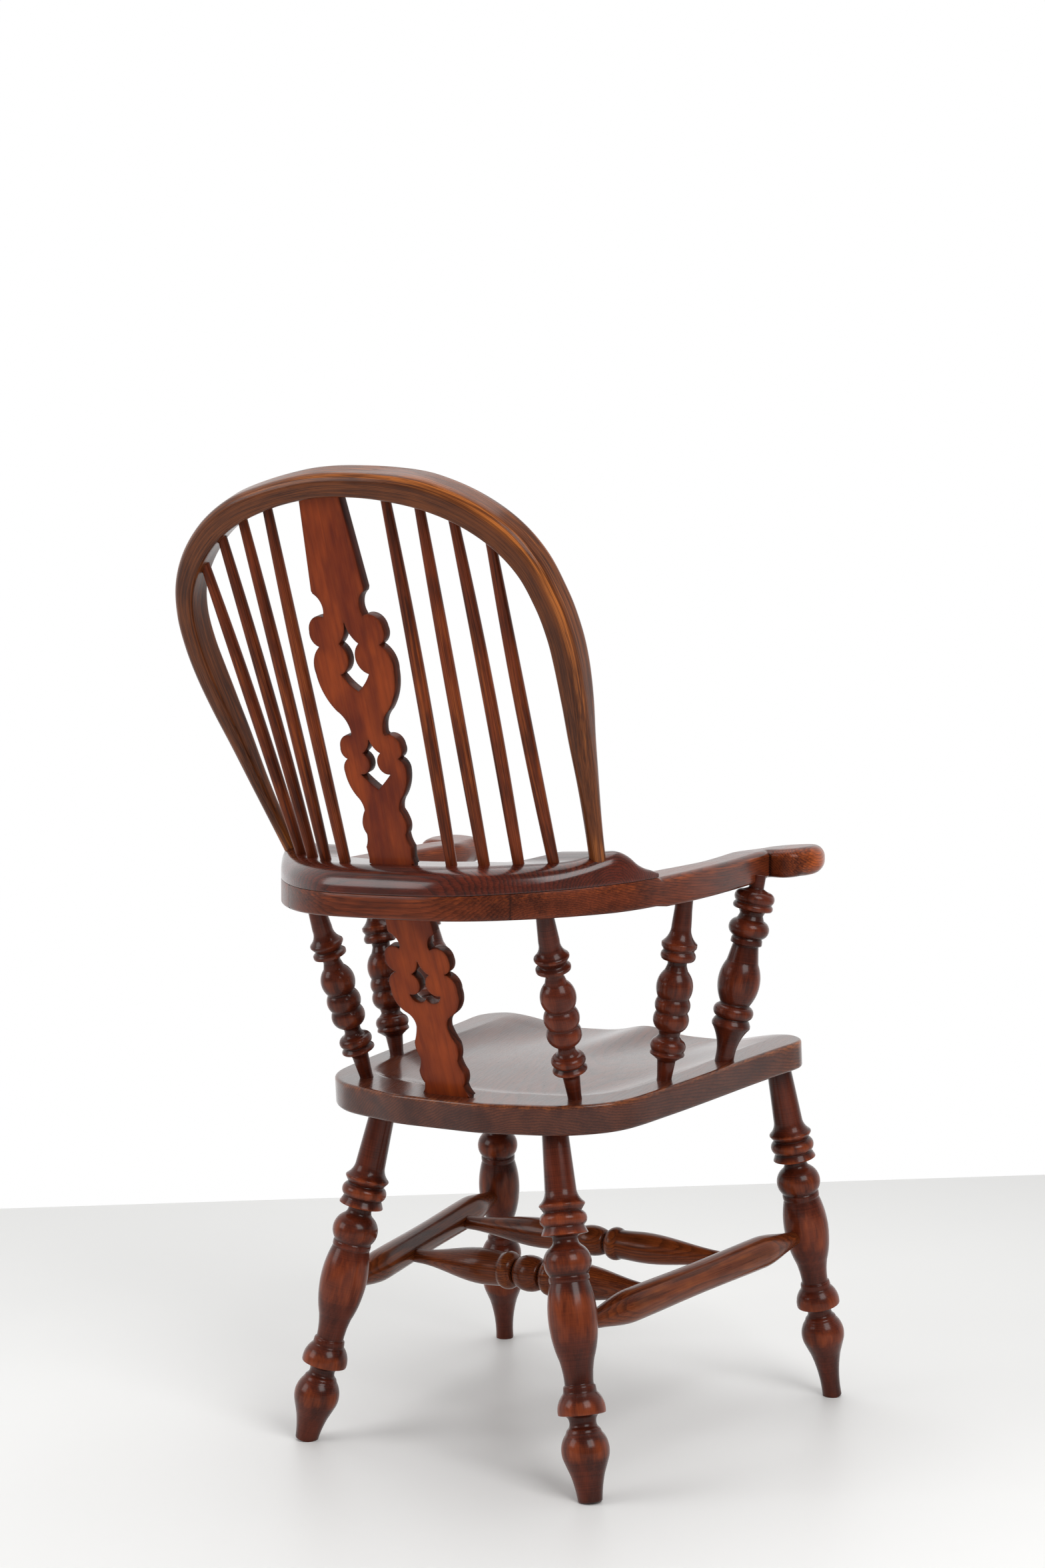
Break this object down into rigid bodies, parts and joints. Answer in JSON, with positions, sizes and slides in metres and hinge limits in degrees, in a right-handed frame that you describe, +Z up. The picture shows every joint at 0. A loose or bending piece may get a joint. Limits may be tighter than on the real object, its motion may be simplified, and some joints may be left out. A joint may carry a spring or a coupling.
{
  "type": "windsor armchair",
  "caption": "High-backed Windsor armchair with a saddled plank seat, turned legs and arm supports, a sawn arm bow with a crest, pierced back splats and a bent back bow.",
  "frame": {"origin": "on the floor, under the centre of the chair's bounding box", "axes": "+Z up; the chair faces -Y; +X is the sitter's left"},
  "size_m": [0.5748, 0.7402, 1.1062],
  "materials": {
    "turned": "glossy dark red-brown polish",
    "stretcher": "polished, worn brown",
    "seat": "satin, worn, open grain",
    "arm": "satin, worn by hands",
    "crest": "glossy polish with scratches",
    "splat": "warm reddish polish",
    "bow": "polished, rubbed through to lighter wood on the edges",
    "stick": "satin polish"
  },
  "bodies": {
    "root": {"arm_back": "arm", "arm_crest": "crest", "arm_left": "arm", "arm_right": "arm", "back_bow": "bow", "back_spindle_left_1": "stick", "back_spindle_left_2": "stick", "back_spindle_left_3": "stick", "back_spindle_left_4": "stick", "back_spindle_right_1": "stick", "back_spindle_right_2": "stick", "back_spindle_right_3": "stick", "back_spindle_right_4": "stick", "leg_front_left": "turned", "leg_front_right": "turned", "leg_rear_left": "turned", "leg_rear_right": "turned", "seat": "seat", "spindle_arm_middle_left": "turned", "spindle_arm_middle_right": "turned", "spindle_arm_rear_left": "turned", "spindle_arm_rear_right": "turned", "splat_lower": "splat", "splat_upper": "splat", "stretcher_cross_front": "stretcher", "stretcher_cross_rear": "stretcher", "stretcher_side_left": "stretcher", "stretcher_side_right": "stretcher", "support_front_left": "turned", "support_front_right": "turned"}
  },
  "joints": []
}
